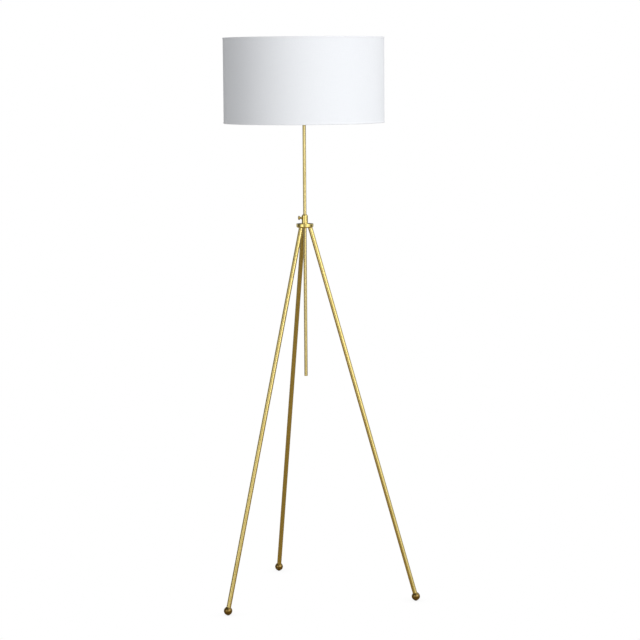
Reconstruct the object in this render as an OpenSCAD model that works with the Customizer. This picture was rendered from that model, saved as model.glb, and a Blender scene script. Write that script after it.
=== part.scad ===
// Tripod floor lamp: three tube legs screwed into a hub disc, a stem that slides through
// a guide collar and is held by a thumb screw, and a drum shade on a harp over one socket.
// Millimetres. The origin is on the floor under the stem, +Z is up, leg 1 points along +X
// and the thumb screw along -X.

/* [Overall] */
// Height of the shade's top edge above the floor, at the stem height shown
overall_h = 1587; // [1500:1:1800]
// Height of the hub disc's underside above the floor
hub_h = 1056; // [960:1:1120]
// Distance from the stem's axis to each ball foot's centre
foot_r = 316.2; // [260:0.1:360]

/* [Legs] */
// Outer diameter of a leg tube
leg_d = 12.7; // [10:0.1:14]
// Wall of a leg tube
leg_wall = 1.2; // [0.8:0.1:1.6]
// Distance from the stem's axis to a leg's axis at the disc's underside
leg_pitch_r = 15.5; // [14.5:0.1:17]
// How far a leg tube goes into the disc, along its own axis
leg_socket_depth = 4; // [2.5:0.1:4.5]
// Diameter of the threaded studs that hold the legs in the disc
leg_stud_d = 8; // [5:0.5:8]
// Length of a leg stud inside the disc
leg_stud_reach = 4.6; // [3:0.1:5]
// Length of the plugs inside both ends of a leg tube
leg_plug_len = 22; // [12:1:40]

/* [Feet] */
// Diameter of a ball foot
ball_d = 23.6; // [20:0.1:28]
// Width of the flat ring on the ball round a leg's end
ball_seat_lip = 0.8; // [0.4:0.1:1.5]
// Diameter of the threaded stud that holds a ball
ball_stud_d = 6; // [4:0.5:7]
// Diameter of a foot pad
pad_d = 8; // [6:0.5:11]
// Thickness of a foot pad
pad_t = 1; // [0.6:0.1:2]

/* [Hub] */
// Diameter of the hub disc
disc_d = 48.4; // [47:0.1:56]
// Thickness of the hub disc
disc_t = 11.2; // [10.6:0.1:14]
// Chamfer on the disc's lower edge
disc_chamfer = 3; // [1:0.1:3.4]
// Radius on the disc's upper edge
disc_round = 1.4; // [0.5:0.1:2.5]
// Diameter of the guide collar
collar_d = 17.4; // [16:0.1:20]
// Height of the guide collar above the disc
collar_h = 26; // [24:0.5:40]
// Radius of the collar's domed shoulder
collar_dome = 4.8; // [3:0.1:6]
// Diameter of the collar's flared foot
collar_foot_d = 19; // [18:0.1:23]
// Height of the collar's flared foot
collar_foot_h = 2.4; // [1:0.1:4]
// Diameter of the collar's spigot inside the disc
spigot_d = 12.8; // [12:0.1:13.4]
// Length of the collar's spigot inside the disc
spigot_len = 6; // [4:0.1:7]

/* [Thumb screw] */
// Height of the screw's axis above the disc
screw_h = 15.6; // [12:0.1:17]
// Thread diameter of the screw
screw_d = 4; // [3:0.5:5]
// Diameter of the collar's side boss
boss_d = 7.5; // [6.5:0.1:9]
// How far the boss stands out of the collar
boss_out = 1.5; // [1:0.1:3]
// Smallest diameter of the screw's neck
neck_d = 5.5; // [4:0.1:6.5]
// Length of the screw's neck
neck_len = 4; // [3:0.1:8]
// Diameter of the screw's head
head_d = 11.5; // [9:0.1:16]
// Thickness of the screw's head
head_t = 4.3; // [3:0.1:7]
// Radius on the head's edges
head_round = 1.2; // [0.5:0.1:1.4]
// Depth of the hollow in the head's outer face
head_dish = 0.5; // [0.2:0.1:1]
// Length of the soft clamp pad at the screw's tip
clamp_pad_len = 2.4; // [1.5:0.1:3]

/* [Stem] */
// Outer diameter of the stem tube
stem_d = 9.5; // [9:0.1:10]
// Wall of the stem tube
stem_wall = 0.9; // [0.7:0.1:1]
// Length of the stem tube
stem_len = 731; // [650:1:900]
// Bore of the cord bushing at the stem's lower end
cord_bore_d = 6; // [4:0.1:6]
// Thickness of the bushing's rim below the stem
bushing_rim = 2; // [1.5:0.1:4]
// Length of the bushing inside the stem
bushing_len = 12; // [8:1:20]

/* [Harp and saddle] */
// Height from the saddle's seat to the seat of the shade's washer
harp_h = 190.5; // [178:0.5:215]
// Distance between the harp's wires at its widest
harp_w = 114; // [100:1:124]
// Diameter of the harp's wire
harp_wire_d = 3.2; // [2.6:0.1:3.6]
// Distance between the saddle's two prongs
saddle_w = 63.5; // [56:0.5:70]
// Thickness of the saddle's strip
saddle_t = 1.6; // [1.2:0.1:2]
// Width of the saddle's strip
saddle_strip_w = 7; // [6:0.5:10]
// Height of the saddle's upturned ends
saddle_tab_h = 8; // [6:0.5:10]
// Length of a prong above the saddle's end
prong_len = 8; // [5:0.5:9]
// Length of a harp sleeve
sleeve_len = 12; // [10:0.5:12]
// Diameter of a harp sleeve
sleeve_d = 6.4; // [5.5:0.1:8]
// Diameter of the stud on top of the harp
harp_stud_d = 6.3; // [5:0.1:7]
// Length of the stud above the washer's seat
harp_stud_len = 10; // [8:0.5:11]
// Height of the finial
finial_h = 18; // [15:0.5:20]
// Diameter of the finial's foot
finial_d = 14; // [12:0.5:18]

/* [Socket] */
// Diameter of the hollow threaded nipple through the socket's cap
nipple_d = 9.6; // [9:0.1:10]
// Diameter of the coupling on top of the stem
coupling_d = 13; // [12.4:0.1:16]
// Height of the coupling below the saddle
coupling_h = 12; // [10:0.5:18]
// Depth of the stem's seat in the coupling
coupling_seat = 8; // [6:0.5:9]
// Distance across the flats of the saddle's locknut
nut_flats = 15; // [13.5:0.5:18]
// Thickness of the locknut
nut_t = 3; // [2:0.1:4]
// Diameter of the socket's cap
cap_d = 35.6; // [34.8:0.1:40]
// Height of the socket's cap
cap_h = 20; // [19:0.5:22]
// Diameter of the threaded hub under the cap
cap_hub_d = 15; // [14:0.5:17]
// Height of the cap's hub
cap_hub_h = 5; // [4:0.5:6]
// Wall of the cap and of the outer shell
socket_wall = 0.8; // [0.5:0.1:1]
// Height of the socket's rim above the saddle's seat
socket_h = 63; // [60:1:68]
// How far the two rolled beads stand out of the shell
shell_bead = 0.5; // [0.3:0.1:0.7]
// Distance from the socket's rim to the upper bead
shell_bead_drop = 9; // [6:0.5:12]
// Distance between the two beads
shell_bead_pitch = 2.5; // [2:0.5:4]
// Wall of the insulating liner
socket_liner_t = 0.7; // [0.4:0.1:1]
// Thickness of the moulded body above the switch shaft
body_cover = 2.4; // [1.5:0.1:4]
// Diameter of the moulded body
body_d = 29.6; // [28.5:0.1:30]
// Inner diameter of the screw shell that holds the bulb
lamp_thread_d = 26.6; // [26.5:0.1:26.9]
// Diameter of the switch knob
knob_d = 10; // [8:0.5:12]
// Length of the switch knob
knob_len = 13; // [10:0.5:18]
// Diameter of the switch shaft
switch_shaft_d = 4; // [3:0.5:5]

/* [Bulb] */
// Diameter of the bulb's glass
bulb_d = 60; // [50:1:64]
// Height of the glass above the socket's rim
bulb_h = 84; // [78:1:92]
// Radius of the hollow curve between the bulb's neck and its ball
bulb_flare_r = 40; // [30:1:50]
// How far the glass reaches down into the socket
bulb_sunk = 6; // [5:0.5:8]
// Wall of the glass
bulb_wall = 0.8; // [0.6:0.1:1.5]

/* [Shade] */
// Outer diameter of the shade
shade_d = 450; // [380:1:500]
// Height of the shade
shade_h = 238; // [200:1:260]
// Thickness of the fabric
fabric_t = 0.6; // [0.4:0.1:1.5]
// Thickness of the stiff liner
liner_t = 0.4; // [0.3:0.1:1]
// Thickness of the edge trim
trim_t = 0.5; // [0.3:0.1:1]
// Width of the edge trim on the outside
trim_w = 5; // [3:0.5:12]
// Diameter of the ring wire
ring_wire_d = 3.2; // [2.5:0.1:4]
// Diameter of the spider's arms
arm_wire_d = 3; // [2.5:0.1:3.4]
// Bend radius of the spider's arms
arm_bend_r = 14; // [8:0.5:17]
// How far the washer's seat lies below the shade's top
spider_drop = 25; // [24:0.5:32]
// Diameter of the spider's washer
washer_d = 24; // [20:0.5:30]
// Thickness of the spider's washer
washer_t = 1.6; // [1.2:0.1:2.5]

/* [Fits] */
// Gap on each side where a part turns or slides on another
run_gap = 0.05; // [0.02:0.01:0.1]
// Gap on each side of parts that are pressed, screwed or glued together
seat_gap = 0.05; // [0.03:0.01:0.1]
// Gap on each side where a part passes through another without being guided
pass_gap = 0.5; // [0.3:0.1:0.8]
// Gap between curved faces that lie close together
near_gap = 0.3; // [0.2:0.1:0.5]
// Gap between the clamp pad and the stem
clamp_gap = 0.1; // [0.05:0.01:0.3]

/* [Hidden] */
$fn = 96;
eps = 0.01;
wire_joint_swell = 0.05;

leg_count = 3;
leg_step = 360 / leg_count;
leg_or = leg_d / 2;
leg_ir = leg_or - leg_wall;
ball_r = ball_d / 2;
pad_flat_margin = 0.15;
ball_z = pad_t + sqrt(pow(ball_r, 2) - pow(pad_d / 2 + pad_flat_margin, 2));
ball_seat_h = sqrt(pow(ball_r, 2) - pow(leg_or + ball_seat_lip, 2));
leg_run = foot_r - leg_pitch_r;
leg_rise = hub_h - ball_z;
leg_splay = atan2(leg_run, leg_rise);
leg_axis_len = sqrt(pow(leg_run, 2) + pow(leg_rise, 2));
leg_top = leg_axis_len + leg_socket_depth;
ball_stud_tip = -ball_r * 0.3;

disc_r = disc_d / 2;
disc_top = hub_h + disc_t;
collar_r = collar_d / 2;
collar_top = disc_top + collar_h;
stem_r = stem_d / 2;
stem_ir = stem_r - stem_wall;
screw_r = screw_d / 2;
screw_z = disc_top + screw_h;
boss_face = collar_r + boss_out;
pad_face = stem_r + clamp_gap;
shank_start = pad_face + clamp_pad_len;
neck_start = boss_face + near_gap;
head_start = neck_start + neck_len;
neck_flare = 1.2;

ring_bend_r = ring_wire_d / 2;
fabric_ir = shade_d / 2 - fabric_t;
liner_or = fabric_ir - seat_gap;
liner_ir = liner_or - liner_t;
ring_r = liner_ir - near_gap / 2 - ring_bend_r;
shade_top = overall_h;
shade_bottom = overall_h - shade_h;
trim_lip_ir = ring_r - ring_bend_r;
top_ring_z = shade_top - trim_t - near_gap - ring_bend_r;
bottom_ring_z = shade_bottom + trim_t + near_gap + ring_bend_r;
arm_r = arm_wire_d / 2;
arm_weld = 0.5;
arm_end_r = ring_r - ring_bend_r - arm_r + arm_weld;
arm_count = 3;
arm_turn = 90;
washer_seat = shade_top - spider_drop;
arm_z = washer_seat + washer_t / 2;

saddle_seat = washer_seat - harp_h;
coupling_bottom = saddle_seat - coupling_h;
stem_top = coupling_bottom + coupling_seat;
stem_bottom = stem_top - stem_len;
wire_r = harp_wire_d / 2;
prong_x = saddle_w / 2;
tab_top = saddle_seat + saddle_tab_h;
prong_top = tab_top + prong_len;
nipple_r = nipple_d / 2;
nipple_bore_r = 3;
nut_bottom = saddle_seat + saddle_t;
cap_bottom = nut_bottom + nut_t;
cap_top = cap_bottom + cap_h;
cap_r = cap_d / 2;
shell_r = cap_r - socket_wall - seat_gap;
shell_ir = shell_r - socket_wall;
bell_r = cap_r - cap_hub_d / 2;
bell_z = cap_bottom + cap_hub_h + bell_r;
shell_bottom = bell_z + near_gap;
socket_rim = saddle_seat + socket_h;
liner_tube_or = shell_ir - seat_gap;
liner_tube_ir = liner_tube_or - socket_liner_t;
nipple_top = cap_bottom + cap_hub_h + 1;
body_r = body_d / 2;
bell_reach = body_r + pass_gap - cap_hub_d / 2;
body_bottom = bell_z - sqrt(pow(bell_r - socket_wall, 2) - pow(bell_reach, 2));
switch_shaft_r = switch_shaft_d / 2;
switch_z = cap_top + knob_d / 2 + pass_gap;
body_top = switch_z + switch_shaft_r + body_cover;
body_h = body_top - body_bottom;
terminal_z = body_bottom + body_h / 2;
terminal_flat = body_r - 3.2;
knob_start = shell_r + near_gap;
knob_end = knob_start + knob_len;
screw_shell_ir = lamp_thread_d / 2;
screw_shell_wall = 0.4;
screw_shell_top = socket_rim - 3;
contact_seat = body_top + seat_gap;
leaf_t = 0.6;
leaf_rise = 3;
leaf_top = contact_seat + leaf_rise;

bulb_base_r = screw_shell_ir - 0.15;
bulb_contact_bottom = leaf_top;
bulb_cone_h = 4;
bulb_shell_bottom = bulb_contact_bottom + 1.2 + bulb_cone_h;
bulb_r = bulb_d / 2;
bulb_neck_r = bulb_base_r - 0.6;
bulb_centre = socket_rim + bulb_h - bulb_r;

// Placing

// Puts children in the frame of leg n: origin at its ball's centre, +Z up along the leg
module leg_frame(n) {
    rotate([0, 0, n * leg_step])
        translate([foot_r, 0, ball_z])
            rotate([0, -leg_splay, 0])
                children();
}

// Puts children in the frame of the thumb screw: origin on the stem's axis, +Z outwards
module screw_frame() {
    translate([0, 0, screw_z])
        rotate([0, -90, 0])
            children();
}

// Puts children in the frame of the switch: origin on the socket's axis, +Z outwards
module switch_frame() {
    translate([0, 0, switch_z])
        rotate([90, 0, 0])
            children();
}

// Shapes

module tube(r_out, r_in, h) {
    difference() {
        cylinder(r = r_out, h = h);
        translate([0, 0, -1])
            cylinder(r = r_in, h = h + 2);
    }
}

// Ring of round wire in a level plane
module wire_ring(r, wire) {
    rotate_extrude()
        translate([r, 0])
            circle(r = wire);
}

// Slightly fuller ball where two runs of one wire meet, so that they join into one solid
module wire_joint(x, z, wire) {
    translate([x, 0, z])
        sphere(r = wire + wire_joint_swell);
}

// Bent round wire in the XZ plane, from angle a0 to a1 about (cx, cz)
module wire_arc(cx, cz, r, a0, a1, wire) {
    translate([cx, 0, cz])
        rotate([90, 0, 0])
            rotate([0, 0, a0])
                rotate_extrude(angle = a1 - a0)
                    translate([r, 0])
                        circle(r = wire);
}

// Tripod

module leg_sockets() {
    for (n = [0 : leg_count - 1])
        leg_frame(n) {
            translate([0, 0, leg_top - 3 * leg_socket_depth - leg_d])
                cylinder(r = leg_or + seat_gap, h = 3 * leg_socket_depth + leg_d + seat_gap);
            translate([0, 0, leg_top - 1])
                cylinder(r = leg_stud_d / 2 + seat_gap, h = leg_stud_reach + near_gap + 1);
        }
}

module disc_profile() {
    difference() {
        square([disc_r, disc_t]);
        polygon([
            [disc_r - disc_chamfer, -eps],
            [disc_r + eps, -eps],
            [disc_r + eps, disc_chamfer]
        ]);
        difference() {
            translate([disc_r - disc_round, disc_t - disc_round])
                square(disc_round + eps);
            translate([disc_r - disc_round, disc_t - disc_round])
                circle(r = disc_round);
        }
    }
}

module hub_disc() {
    color("goldenrod")
        difference() {
            translate([0, 0, hub_h])
                rotate_extrude()
                    disc_profile();
            translate([0, 0, hub_h - 1])
                cylinder(r = stem_r + pass_gap, h = disc_t + 2);
            translate([0, 0, disc_top - spigot_len - near_gap])
                cylinder(r = spigot_d / 2 + seat_gap, h = spigot_len + 2);
            leg_sockets();
        }
}

module collar_profile() {
    translate([0, -spigot_len])
        square([spigot_d / 2, spigot_len + eps]);
    square([collar_r, collar_h - collar_dome]);
    square([collar_r - collar_dome, collar_h]);
    intersection() {
        translate([collar_r - collar_dome, collar_h - collar_dome])
            circle(r = collar_dome);
        square([collar_r, collar_h]);
    }
    polygon([
        [0, 0],
        [collar_foot_d / 2, 0],
        [collar_foot_d / 2, collar_foot_h * 0.3],
        [collar_r, collar_foot_h],
        [0, collar_foot_h]
    ]);
}

module guide_collar() {
    color("goldenrod")
        difference() {
            union() {
                translate([0, 0, disc_top])
                    rotate_extrude()
                        collar_profile();
                screw_frame()
                    translate([0, 0, collar_r - 2])
                        cylinder(r = boss_d / 2, h = boss_out + 2);
            }
            translate([0, 0, disc_top - spigot_len - 1])
                cylinder(r = stem_r + run_gap, h = spigot_len + collar_h + 2);
            screw_frame()
                cylinder(r = screw_r + run_gap, h = boss_face + 1);
        }
}

module leg(n) {
    color("goldenrod")
        leg_frame(n)
            translate([0, 0, ball_seat_h])
                tube(leg_or, leg_ir, leg_top - ball_seat_h);
}

module leg_1() {
    leg(0);
}

module leg_2() {
    leg(1);
}

module leg_3() {
    leg(2);
}

module leg_top_studs() {
    color("silver")
        for (n = [0 : leg_count - 1])
            leg_frame(n) {
                translate([0, 0, leg_top - leg_plug_len])
                    cylinder(r = leg_ir - seat_gap, h = leg_plug_len);
                translate([0, 0, leg_top])
                    cylinder(r = leg_stud_d / 2, h = leg_stud_reach);
            }
}

module leg_foot_plugs() {
    color("silver")
        for (n = [0 : leg_count - 1])
            leg_frame(n) {
                translate([0, 0, ball_seat_h])
                    cylinder(r = leg_ir - seat_gap, h = leg_plug_len);
                translate([0, 0, ball_stud_tip])
                    cylinder(r = ball_stud_d / 2, h = ball_seat_h - ball_stud_tip);
            }
}

module ball_foot(n) {
    color("saddlebrown")
        difference() {
            leg_frame(n)
                difference() {
                    sphere(r = ball_r);
                    translate([0, 0, ball_seat_h])
                        cylinder(r = ball_r, h = ball_r);
                    translate([0, 0, ball_stud_tip - near_gap])
                        cylinder(r = ball_stud_d / 2 + seat_gap, h = 2 * ball_r);
                }
            rotate([0, 0, n * leg_step])
                translate([foot_r - ball_r, -ball_r, pad_t - ball_r])
                    cube([ball_d, ball_d, ball_r]);
        }
}

module ball_foot_1() {
    ball_foot(0);
}

module ball_foot_2() {
    ball_foot(1);
}

module ball_foot_3() {
    ball_foot(2);
}

module foot_pads() {
    color("dimgray")
        for (n = [0 : leg_count - 1])
            rotate([0, 0, n * leg_step])
                translate([foot_r, 0, 0])
                    cylinder(r = pad_d / 2, h = pad_t);
}

// Clamp

module clamp_pad() {
    color("white")
        screw_frame()
            translate([0, 0, pad_face])
                cylinder(r = screw_r, h = clamp_pad_len);
}

module thumb_screw_profile() {
    dish_r = head_d / 2 - head_round;
    dish_ball = (pow(dish_r, 2) + pow(head_dish, 2)) / (2 * head_dish);
    cove = (pow(neck_len / 2, 2) + pow(neck_flare, 2)) / (2 * neck_flare);
    difference() {
        union() {
            translate([0, shank_start])
                square([screw_r, neck_start - shank_start + eps]);
            translate([0, neck_start])
                square([neck_d / 2 + neck_flare, neck_len + eps]);
            translate([0, head_start])
                square([head_d / 2 - head_round, head_t]);
            translate([0, head_start + head_round])
                square([head_d / 2, head_t - 2 * head_round]);
            for (level = [head_round, head_t - head_round])
                translate([head_d / 2 - head_round, head_start + level])
                    circle(r = head_round);
        }
        translate([neck_d / 2 + cove, neck_start + neck_len / 2])
            circle(r = cove);
        translate([0, head_start + head_t + dish_ball - head_dish])
            circle(r = dish_ball);
        translate([-2 * head_d, 0])
            square([2 * head_d, 2 * head_start + 2 * head_t]);
    }
}

module thumb_screw() {
    color("goldenrod")
        screw_frame()
            rotate_extrude()
                thumb_screw_profile();
}

// Stem

module stem_tube() {
    color("gold")
        translate([0, 0, stem_bottom])
            tube(stem_r, stem_ir, stem_len);
}

module bushing_profile() {
    rim_round = bushing_rim * 0.5;
    difference() {
        union() {
            translate([0, rim_round])
                square([stem_r, bushing_rim - rim_round]);
            square([stem_r - rim_round, bushing_rim]);
            intersection() {
                translate([stem_r - rim_round, rim_round])
                    circle(r = rim_round);
                square([stem_r, bushing_rim]);
            }
            square([stem_ir - run_gap, bushing_rim + bushing_len]);
        }
        translate([-1, -1])
            square([1 + cord_bore_d / 2, bushing_rim + bushing_len + 2]);
    }
}

module cord_bushing() {
    color("darkkhaki")
        translate([0, 0, stem_bottom - bushing_rim])
            rotate_extrude()
                bushing_profile();
}

module stem_coupling() {
    color("goldenrod")
        difference() {
            union() {
                translate([0, 0, coupling_bottom])
                    cylinder(r = coupling_d / 2, h = coupling_h);
                translate([0, 0, saddle_seat])
                    cylinder(r = nipple_r, h = nipple_top - saddle_seat);
            }
            translate([0, 0, coupling_bottom - 1])
                cylinder(r = stem_r + seat_gap, h = coupling_seat + 1);
            translate([0, 0, coupling_bottom])
                cylinder(r = nipple_bore_r, h = nipple_top - coupling_bottom + 1);
        }
}

// Harp

module saddle_side_profile() {
    half = prong_x + saddle_t / 2;
    bend = 2 * saddle_t;
    difference() {
        union() {
            translate([-half, bend])
                square([2 * half, saddle_tab_h - bend]);
            translate([bend - half, 0])
                square([2 * (half - bend), bend + eps]);
            for (side = [-1, 1])
                translate([side * (half - bend), bend])
                    circle(r = bend);
        }
        translate([saddle_t - half, bend])
            square([2 * (half - saddle_t), saddle_tab_h]);
        translate([bend - half, saddle_t])
            square([2 * (half - bend), saddle_tab_h]);
        for (side = [-1, 1])
            translate([side * (half - bend), bend])
                circle(r = bend - saddle_t);
    }
}

module harp_saddle() {
    color("goldenrod")
        difference() {
            union() {
                translate([0, saddle_strip_w / 2, saddle_seat])
                    rotate([90, 0, 0])
                        linear_extrude(height = saddle_strip_w)
                            saddle_side_profile();
                translate([0, 0, saddle_seat])
                    cylinder(r = nipple_r + 6, h = saddle_t);
                for (side = [-1, 1])
                    translate([side * prong_x, 0, tab_top])
                        cylinder(r = wire_r, h = prong_len);
            }
            translate([0, 0, saddle_seat - 1])
                cylinder(r = nipple_r + seat_gap, h = saddle_t + 2);
        }
}

module saddle_nut() {
    color("silver")
        difference() {
            translate([0, 0, nut_bottom])
                cylinder(r = nut_flats / 2 / cos(30), h = nut_t, $fn = 6);
            translate([0, 0, nut_bottom - 1])
                cylinder(r = nipple_r + seat_gap, h = nut_t + 2);
        }
}

// The wire rises straight from the prong, bends out, sweeps round its widest point and
// turns in over a tight shoulder to the stud
module harp_side() {
    foot_bend = 20;
    side_bend = 100;
    shoulder_bend = 22;
    flat_half = 7;
    wire_top = washer_seat - 3.4;
    widest_x = harp_w / 2;
    sweep_x = widest_x - side_bend;
    sweep_end = acos((flat_half - sweep_x) / (side_bend - shoulder_bend));
    shoulder_z = wire_top - shoulder_bend;
    widest_z = shoulder_z - (side_bend - shoulder_bend) * sin(sweep_end);
    lean = acos(1 - (widest_x - prong_x) / (foot_bend + side_bend));
    straight_top = widest_z - (foot_bend + side_bend) * sin(lean);
    translate([prong_x, 0, prong_top])
        cylinder(r = wire_r, h = straight_top - prong_top);
    wire_joint(prong_x, straight_top, wire_r);
    wire_arc(prong_x + foot_bend, straight_top, foot_bend, 180 - lean, 180, wire_r);
    wire_joint(sweep_x + side_bend * cos(lean), widest_z - side_bend * sin(lean), wire_r);
    wire_arc(sweep_x, widest_z, side_bend, -lean, sweep_end, wire_r);
    wire_joint(
        flat_half + shoulder_bend * cos(sweep_end),
        shoulder_z + shoulder_bend * sin(sweep_end), wire_r
    );
    wire_arc(flat_half, shoulder_z, shoulder_bend, sweep_end, 90, wire_r);
    wire_joint(flat_half, wire_top, wire_r);
    translate([0, 0, wire_top])
        rotate([0, 90, 0])
            cylinder(r = wire_r, h = flat_half);
}

module harp() {
    block_r = harp_stud_d / 2 + 2;
    color("goldenrod") {
        harp_side();
        mirror([1, 0, 0])
            harp_side();
        translate([0, 0, washer_seat - 6])
            cylinder(r = block_r, h = 6);
        translate([0, 0, washer_seat])
            cylinder(r = harp_stud_d / 2, h = harp_stud_len);
    }
}

module harp_sleeve(side) {
    color("goldenrod")
        translate([side * prong_x, 0, tab_top])
            tube(sleeve_d / 2, wire_r + run_gap, sleeve_len);
}

module harp_sleeve_left() {
    harp_sleeve(-1);
}

module harp_sleeve_right() {
    harp_sleeve(1);
}

module finial_profile() {
    foot_h = 2.4;
    ball = finial_d * 0.42;
    neck = harp_stud_d / 2 + 1.2;
    square([finial_d / 2, foot_h]);
    square([neck, finial_h - ball]);
    intersection() {
        translate([0, finial_h - ball])
            circle(r = ball);
        square([finial_d, finial_h]);
    }
}

module finial() {
    color("goldenrod")
        translate([0, 0, washer_seat + washer_t])
            difference() {
                rotate_extrude()
                    finial_profile();
                translate([0, 0, -1])
                    cylinder(r = harp_stud_d / 2 + seat_gap, h = harp_stud_len - washer_t + near_gap + 1);
            }
}

// Socket

module cap_outline(wall) {
    hub = cap_hub_d / 2;
    difference() {
        union() {
            translate([0, cap_hub_h + bell_r])
                square([cap_r - wall, cap_h]);
            intersection() {
                translate([hub, cap_hub_h + bell_r])
                    circle(r = bell_r - wall);
                translate([hub, 0])
                    square([bell_r, cap_hub_h + bell_r + eps]);
            }
            translate([0, cap_hub_h + wall])
                square([hub + eps, bell_r]);
        }
        translate([-1, cap_h])
            square([cap_d, 2 * cap_h]);
    }
}

module socket_cap() {
    color("goldenrod")
        difference() {
            translate([0, 0, cap_bottom])
                rotate_extrude()
                    union() {
                        cap_outline(0);
                        square([cap_hub_d / 2, cap_hub_h + 1]);
                    }
            translate([0, 0, cap_bottom + eps])
                rotate_extrude()
                    cap_outline(socket_wall);
            translate([0, 0, cap_top - 1])
                cylinder(r = cap_r - socket_wall, h = 2);
            translate([0, 0, cap_bottom - 1])
                cylinder(r = nipple_r + seat_gap, h = cap_h);
            translate([0, 0, cap_bottom + cap_hub_h / 2])
                rotate([-90, 0, 0])
                    cylinder(r = 1.5 + seat_gap, h = cap_hub_d);
        }
}

module cap_screw() {
    color("silver")
        translate([0, nipple_r + near_gap, cap_bottom + cap_hub_h / 2])
            rotate([-90, 0, 0])
                cylinder(r = 1.5, h = cap_hub_d / 2 - nipple_r - near_gap);
}

module socket_shell() {
    color("goldenrod")
        difference() {
            union() {
                translate([0, 0, shell_bottom])
                    cylinder(r = shell_r, h = socket_rim - shell_bottom);
                translate([0, 0, socket_rim - socket_wall])
                    wire_ring(shell_r, socket_wall);
                for (drop = [shell_bead_drop, shell_bead_drop + shell_bead_pitch])
                    translate([0, 0, socket_rim - drop])
                        wire_ring(shell_r, shell_bead);
            }
            translate([0, 0, shell_bottom - 1])
                cylinder(r = shell_ir, h = socket_rim - shell_bottom + 2);
            switch_frame()
                cylinder(r = switch_shaft_r + pass_gap, h = cap_d);
        }
}

module socket_liner() {
    color("dimgray")
        difference() {
            translate([0, 0, shell_bottom])
                tube(liner_tube_or, liner_tube_ir, socket_rim - 2 - shell_bottom);
            switch_frame()
                cylinder(r = switch_shaft_r + pass_gap, h = cap_d);
        }
}

module socket_body() {
    color("black")
        difference() {
            translate([0, 0, body_bottom])
                cylinder(r = body_r, h = body_h);
            for (side = [-1, 1]) {
                translate([side * (terminal_flat + body_r), 0, body_bottom + body_h / 2])
                    cube([2 * body_r, 9, body_h + 2], center = true);
                translate([0, 0, terminal_z])
                    rotate([0, side * 90, 0])
                        translate([0, 0, terminal_flat - 5])
                            cylinder(r = 1.5 + seat_gap, h = 6);
            }
            switch_frame()
                translate([0, 0, body_r - 9])
                    cylinder(r = switch_shaft_r + run_gap, h = body_r);
        }
}

module terminal_screws() {
    color("khaki")
        for (side = [-1, 1])
            translate([0, 0, terminal_z])
                rotate([0, side * 90, 0]) {
                    translate([0, 0, terminal_flat - 4.5])
                        cylinder(r = 1.5, h = 4.5);
                    translate([0, 0, terminal_flat])
                        difference() {
                            cylinder(r = 3, h = 1.8);
                            translate([-0.4, -4, 1])
                                cube([0.8, 8, 2]);
                        }
                }
}

module screw_shell() {
    shell_h = screw_shell_top - contact_seat;
    color("gold")
        translate([0, 0, contact_seat])
            difference() {
                cylinder(r = screw_shell_ir + screw_shell_wall, h = shell_h);
                translate([0, 0, screw_shell_wall])
                    cylinder(r = screw_shell_ir, h = shell_h);
                translate([0, 0, -1])
                    cylinder(r = screw_shell_ir * 0.6, h = 3);
            }
}

module centre_contact() {
    color("gold")
        translate([0, 2.5, contact_seat])
            rotate([90, 0, 0])
                linear_extrude(height = 5)
                    polygon([
                        [-6, 0], [2, 0], [2, leaf_t], [-4.5, leaf_t], [-3, leaf_rise - leaf_t],
                        [3, leaf_rise - leaf_t], [3, leaf_rise], [-3.5, leaf_rise]
                    ]);
}

module switch_shaft() {
    color("silver")
        switch_frame()
            translate([0, 0, body_r - 8.5])
                cylinder(r = switch_shaft_r, h = knob_start + knob_len / 2 - body_r + 8.5);
}

module knob_profile() {
    knob_r = knob_d / 2;
    crown = 2;
    square([knob_r, knob_len - crown]);
    square([knob_r - crown, knob_len]);
    translate([knob_r - crown, knob_len - crown])
        circle(r = crown);
}

module switch_knob() {
    flutes = 12;
    color("black")
        switch_frame()
            translate([0, 0, knob_start])
                difference() {
                    rotate_extrude()
                        knob_profile();
                    for (n = [0 : flutes - 1])
                        rotate([0, 0, n * 360 / flutes])
                            translate([knob_d / 2 + 0.3, 0, 2])
                                cylinder(r = 0.8, h = knob_len);
                    translate([0, 0, -1])
                        cylinder(r = switch_shaft_r + seat_gap, h = knob_len / 2 + near_gap + 1);
                }
}

// Bulb

module bulb_base() {
    color("silver")
        translate([0, 0, bulb_shell_bottom])
            tube(bulb_base_r, bulb_base_r - 0.4, socket_rim - bulb_shell_bottom);
}

module bulb_contact() {
    color("black")
        translate([0, 0, bulb_contact_bottom])
            rotate_extrude()
                polygon([
                    [0, 0], [3.5, 0], [4.5, 1.2], [bulb_base_r - 2, 1.2 + bulb_cone_h],
                    [0, 1.2 + bulb_cone_h]
                ]);
}

// Outline of the glass, drawn in by wall: a ball, a straight neck, and between them a
// hollow curve that is tangent to both
module bulb_outline(wall) {
    neck_z = socket_rim - bulb_sunk;
    centres = bulb_r + bulb_flare_r;
    flare_x = bulb_neck_r + bulb_flare_r;
    flare_z = bulb_centre - sqrt(pow(centres, 2) - pow(flare_x, 2));
    join = (bulb_r - wall) / centres;
    join_z = bulb_centre - (bulb_centre - flare_z) * join;
    intersection() {
        union() {
            translate([0, bulb_centre])
                circle(r = bulb_r - wall);
            difference() {
                translate([0, neck_z - eps])
                    square([flare_x * join, join_z - neck_z + eps]);
                translate([flare_x, flare_z])
                    circle(r = bulb_flare_r + wall);
                translate([bulb_neck_r - wall, neck_z - 1])
                    square([bulb_r, flare_z - neck_z + 1]);
            }
        }
        translate([0, neck_z - eps])
            square([bulb_d, bulb_d * 3]);
    }
}

module bulb_glass() {
    color("white", 0.6)
        difference() {
            rotate_extrude()
                bulb_outline(0);
            rotate_extrude()
                bulb_outline(bulb_wall);
        }
}

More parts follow.
